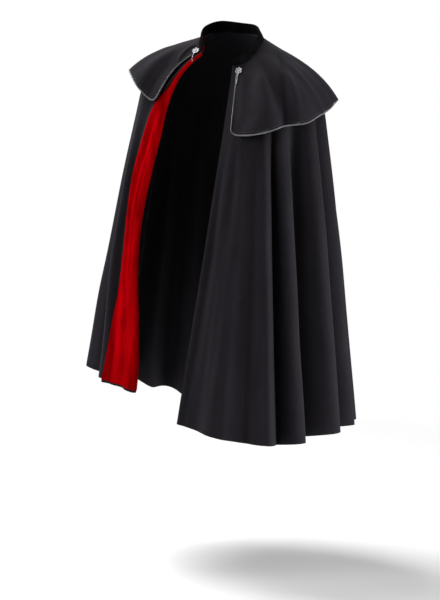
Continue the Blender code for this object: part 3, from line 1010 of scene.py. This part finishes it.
def stitch_row(name, path, outs, stitch, thread):
    """A row of small stitches lying along a path, as one mesh riding on the cloak."""
    length, gap = stitch
    shape = bmesh.new()
    travelled = 0.0
    next_start = 0.0
    for i in range(len(path) - 1):
        step = (path[i + 1] - path[i]).length
        while next_start <= travelled + step:
            s = (next_start - travelled) / step
            middle = path[i].lerp(path[i + 1], s)
            along = (path[i + 1] - path[i]).normalized()
            out = outs[i].lerp(outs[i + 1], s).normalized()
            side = out.cross(along).normalized()
            turned = Matrix((along, side, out)).transposed().to_4x4()
            size = (length / 2, STITCH_RADIUS, STITCH_RADIUS * STITCH_FLATNESS, 1)
            place = Matrix.Translation(middle) @ turned @ Matrix.Diagonal(size)
            bmesh.ops.create_icosphere(shape, subdivisions=1, radius=1.0, matrix=place)
            next_start += length + gap
        travelled += step
    row = add_shape(name, shape, thread)
    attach(row, "cloak")


def build_cape_stitches(thread):
    """The sewn line a little inside the shoulder cape's cord."""
    path, outs = [], []
    for cut, _, out, away in cape_edge(CAPE_STITCH_START):
        path.append(cut - away * CAPE_STITCH_INSET + out * (CAPE_WOOL / 2 + STITCH_LIFT))
        outs.append(out)
    stitch_row("capelet_stitches", path, outs, CAPE_STITCH, thread)


def build_edge_stitches(thread):
    """The sewn line a little inside the wearer's left front edge, on the outer side."""
    path, outs = [], []
    for drop in spread(*EDGE_STITCH_DROPS, EDGE_STITCH_STEP):
        edge = cloak_point(EDGE_TURN, drop)
        across, _, out, _ = frame_at(cloak_point, EDGE_TURN, drop)
        path.append(edge - across * EDGE_STITCH_INSET + out * (WOOL / 2 + STITCH_LIFT))
        outs.append(out)
    stitch_row("front_edge_stitches", path, outs, EDGE_STITCH, thread)


def build_collar(velvet):
    turns = spread(*COLLAR_ENDS, COLLAR_COLUMN)
    rows = [COLLAR_FOOT] + spread(COLLAR_FIRST_ROW, 1, 1 / COLLAR_ROWS)
    piece = cloth("collar_cloth", turns, rows, collar_seam_point, COLLAR_WALL, velvet)
    ride(piece, "collar")


def build_facing(name, places, rows, surface, velvet):
    """A velvet facing. Its wall isn't evened out, which would spike at its tightest roll."""
    piece = cloth(name + "_velvet", places, rows, surface, VELVET, velvet, even=False)
    ride(piece, name)


def build_facings(velvet):
    first, last = FACING_DROPS
    drops = [first + (last - first) * drop for drop in spread(0, 1, FACING_ROW)]
    right = flap_places() + spread(1, 1 + FACING_INSIDE, RIGHT_FACING_COLUMN)
    inside, outside = EDGE_TURN - FACING_INSIDE, EDGE_TURN - FACING_SETBACK
    left = spread(inside, outside, LEFT_FACING_COLUMN)
    short = spread(*COLLAR_FACING_ENDS, COLLAR_COLUMN)
    shares = spread(*COLLAR_FACING_SHARES, COLLAR_FACING_ROW)
    build_facing("facing_right", right, drops, facing_right_point, velvet)
    build_facing("facing_left", left, drops, facing_left_point, velvet)
    build_facing(
        "collar_facing", short, shares, collar_facing_point, velvet
    )


def cape_face(turn, drop):
    """A point on the outer side of the shoulder cape near its neck, carried on past its edge."""
    return lifted(turn, drop, CAPE_OUTSIDE)


def clasp_frame(turn, drop):
    """The place of a clasp on the shoulder cape, its Z axis outwards and its Y axis down."""
    here = cape_face(turn, drop)
    across = cape_face(turn + CLASP_TURN_STEP, drop) - cape_face(turn - CLASP_TURN_STEP, drop)
    out = across.cross(cape_face(turn, drop + CLASP_DROP_STEP) - here).normalized()
    down = (Vector((0, 0, -1)) + out * out.z).normalized()
    turned = Matrix((down.cross(out), down, out)).transposed()
    return Matrix.Translation(here) @ turned.to_4x4()


def add_ring(shape, place, radius, wire, stretch=1.0, steps=20, sides=8):
    """A round wire ring in the XY plane of a place, stretched along Y."""
    rings = []
    for i in range(steps):
        a = 2 * math.pi * i / steps
        centre = Vector((radius * math.cos(a), radius * stretch * math.sin(a), 0))
        away = Vector((math.cos(a), math.sin(a), 0))
        ring = []
        for j in range(sides):
            b = 2 * math.pi * j / sides
            point = centre + away * wire * math.cos(b) + Vector((0, 0, wire * math.sin(b)))
            ring.append(shape.verts.new(place @ point))
        rings.append(ring)
    for i in range(steps):
        here, there = rings[i], rings[(i + 1) % steps]
        for j in range(sides):
            k = (j + 1) % sides
            shape.faces.new((here[j], there[j], there[k], here[k]))


def add_bead(shape, place, point, radius, flat=1.0):
    size = Matrix.Diagonal((radius, radius, radius * flat, 1))
    matrix = place @ Matrix.Translation(point) @ size
    bmesh.ops.create_uvsphere(shape, u_segments=12, v_segments=8, radius=1.0, matrix=matrix)


def finish_metal(name, shape, silver):
    bmesh.ops.recalc_face_normals(shape, faces=shape.faces)
    return add_shape(name, shape, silver)


def build_rosette(side, place, silver):
    """A pierced flower of wire petals round a domed heart, with grains between them."""
    shape = bmesh.new()
    seat = place @ Matrix.Translation((0, 0, ROSETTE_LIFT))
    r = ROSETTE_RADIUS
    add_bead(shape, seat, (0, 0, PLATE_HEIGHT), PLATE_RADIUS * r, PLATE_FLATNESS)
    spot = Matrix.Translation((PETAL_PLACE * r, 0, PETAL_HEIGHT))
    tilt = Matrix.Rotation(PETAL_TILT, 4, "Y")
    for i in range(PETALS):
        a = math.pi / PETALS * (2 * i + 1)
        petal = seat @ Matrix.Rotation(a, 4, "Z") @ spot @ tilt
        for radius, wire, steps, sides in PETAL_RINGS:
            add_ring(shape, petal, radius * r, wire * r, steps=steps, sides=sides)
        add_bead(shape, petal, (0, 0, SEED_HEIGHT), SEED_RADIUS * r)
        b = a + math.pi / PETALS
        for away, height, radius in GRAINS:
            grain = (away * r * math.cos(b), away * r * math.sin(b), height)
            add_bead(shape, seat, grain, radius * r)
    heart = seat @ Matrix.Translation((0, 0, HEART_HEIGHT))
    add_ring(shape, heart, HEART_RING * r, HEART_WIRE * r)
    add_bead(shape, heart, (0, 0, SEED_HEIGHT), HEART_RADIUS * r, HEART_FLATNESS)
    piece = finish_metal(f"rosette_{side}_silver", shape, silver)
    ride(piece, f"rosette_{side}")


def chain_place(place, rise, lying, lean, along):
    """The place of a link, its Y axis along the chain: first on the cloth, then hanging plumb."""
    axes = place.to_3x3()
    on_cloth = (axes.col[1] + axes.col[2] * lean).normalized()
    plumb = Vector((0, 0, -1))
    top = place @ Vector((0, ROSETTE_RADIUS + CHAIN_GAP, rise))
    centre = top + on_cloth * min(along, lying) + plumb * max(0, along - lying)
    way = on_cloth if along < lying else plumb
    across = way.cross(axes.col[2]).normalized()
    turned = Matrix((across, way, across.cross(way))).transposed().to_4x4()
    return Matrix.Translation(centre) @ turned


def build_chain(side, place, rise, lying, silver):
    """Small oval links and a hook, along the path of the solid chain."""
    lean = CHAIN_LEAN[side]
    shape = bmesh.new()
    for i in range(LINKS):
        link = chain_place(place, rise, lying, lean, (i + LINK_START) * LINK_PITCH)
        if i % 2:
            link = link @ LINK_TURN
        add_ring(shape, link, LINK_RADIUS, LINK_WIRE, LINK_STRETCH, steps=18, sides=7)
    start = (LINKS - HOOK_OVERLAP) * LINK_PITCH
    hook = chain_place(place, rise, lying, lean, start)
    shank = (CHAIN_LENGTH - start) / 2
    add_ring(shape, hook, HOOK_EYE, HOOK_WIRE, steps=16, sides=7)
    loop = hook @ Matrix.Translation((0, shank, 0))
    add_ring(shape, loop, HOOK_RADIUS, HOOK_WIRE, HOOK_STRETCH, steps=20, sides=7)
    add_bead(shape, hook, (0, 2 * shank - HOOK_WIRE, 0), HOOK_BEAD)
    piece = finish_metal(f"chain_{side}_silver", shape, silver)
    ride(piece, f"chain_{side}", f"hook_{side}")


def build_clasps(silver):
    for side, turn, drop, rise, lying in CLASPS:
        place = clasp_frame(turn, drop)
        build_rosette(side, place, silver)
        build_chain(side, place, rise, lying, silver)


def build_camera():
    camera = bpy.data.cameras.new("camera")
    camera.lens = CAMERA_LENS
    camera.sensor_width = CAMERA_SENSOR
    camera.clip_end = CAMERA_CLIP
    made = bpy.data.objects.new("camera", camera)
    bpy.context.scene.collection.objects.link(made)
    sin, cos = math.sin(CAMERA_TURN), math.cos(CAMERA_TURN)
    made.location = (
        CAMERA_AWAY * sin - CAMERA_ASIDE * cos,
        -CAMERA_AWAY * cos - CAMERA_ASIDE * sin,
        CAMERA_HEIGHT,
    )
    made.rotation_euler = (math.pi / 2 - CAMERA_TILT, 0, CAMERA_TURN)
    bpy.context.scene.camera = made


def area_light(name, turn, height, away, size, power):
    """A soft square light aimed at the middle of the cloak; turn is degrees from the front."""
    light = bpy.data.lights.new(name, "AREA")
    light.size = size
    light.energy = power
    made = bpy.data.objects.new(name, light)
    a = math.radians(turn)
    made.location = (away * math.sin(a), -away * math.cos(a), height)
    made.rotation_euler = (LIGHT_AIM - made.location).to_track_quat("-Z", "Y").to_euler()
    bpy.context.scene.collection.objects.link(made)


def build_world():
    """White where the camera sees it, and dimmer as light on the cloth."""
    world = bpy.data.worlds.new("studio")
    bpy.context.scene.world = world
    world.use_nodes = True
    tree = world.node_tree
    background = tree.nodes["Background"]
    background.inputs["Color"].default_value = (1, 1, 1, 1)
    seen = tree.nodes.new("ShaderNodeLightPath")
    strength = tree.nodes.new("ShaderNodeMapRange")
    strength.inputs["To Min"].default_value = AMBIENT
    strength.inputs["To Max"].default_value = 1.0
    tree.links.new(seen.outputs["Is Camera Ray"], strength.inputs["Value"])
    tree.links.new(strength.outputs["Result"], background.inputs["Strength"])


def build_stage():
    bpy.ops.mesh.primitive_circle_add(
        vertices=FLOOR_SIDES, radius=FLOOR_FADE, fill_type="NGON", location=(0, 0, FLOOR)
    )
    floor = bpy.context.object
    floor.name = "floor"
    floor.data.materials.append(floor_material())
    build_world()
    for light in LIGHTS:
        area_light(*light)
    bpy.context.scene.view_settings.view_transform = "Standard"


def main():
    build_camera()
    build_stage()
    wool = wool_material("black_wool", WOOL_DARK, WOOL_LIGHT, WOOL_EDGE_WEAR_AND_HIGHLIGHT)
    collar = velvet_material("black_velvet", BLACK_DARK, BLACK_LIGHT, BLACK_TINT)
    red = velvet_material("red_velvet", RED_DARK, RED_LIGHT, RED_TINT)
    silver = silver_material()
    build_cloak(wool)
    build_cape(wool)
    build_trim(cord_material())
    thread = thread_material()
    build_cape_stitches(thread)
    build_edge_stitches(thread)
    build_collar(collar)
    build_facings(red)
    build_clasps(silver)


main()
